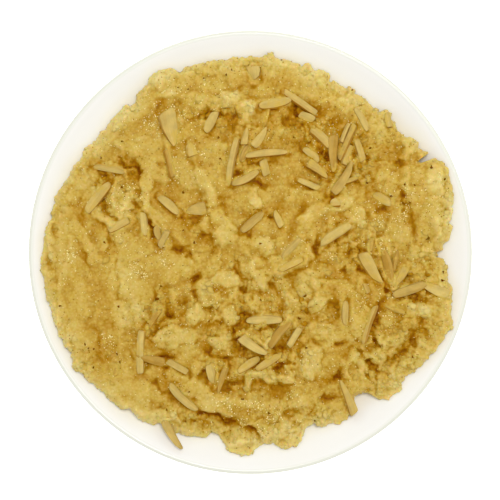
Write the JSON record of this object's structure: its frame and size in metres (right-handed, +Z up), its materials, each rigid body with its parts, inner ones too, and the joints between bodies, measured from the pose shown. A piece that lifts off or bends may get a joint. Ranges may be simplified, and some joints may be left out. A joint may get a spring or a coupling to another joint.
{
  "type": "suji halwa in a serving dish",
  "caption": "Moist semolina halwa heaped in a shallow round white porcelain dish, uneven and spoon-pressed, with slivered almonds stuck in it.",
  "frame": {"origin": "on the axis of the dish, on the plane that its foot ring stands on", "axes": "+Z up along the axis of the dish; +Y towards the top edge of the picture, +X to its right"},
  "size_m": [0.21, 0.21, 0.0375],
  "materials": {
    "porcelain": "smooth white glaze",
    "halwa": "moist, crumbly, satin where pressed"
  },
  "bodies": {
    "root": {"dish": "porcelain", "halwa": "halwa"}
  },
  "joints": []
}
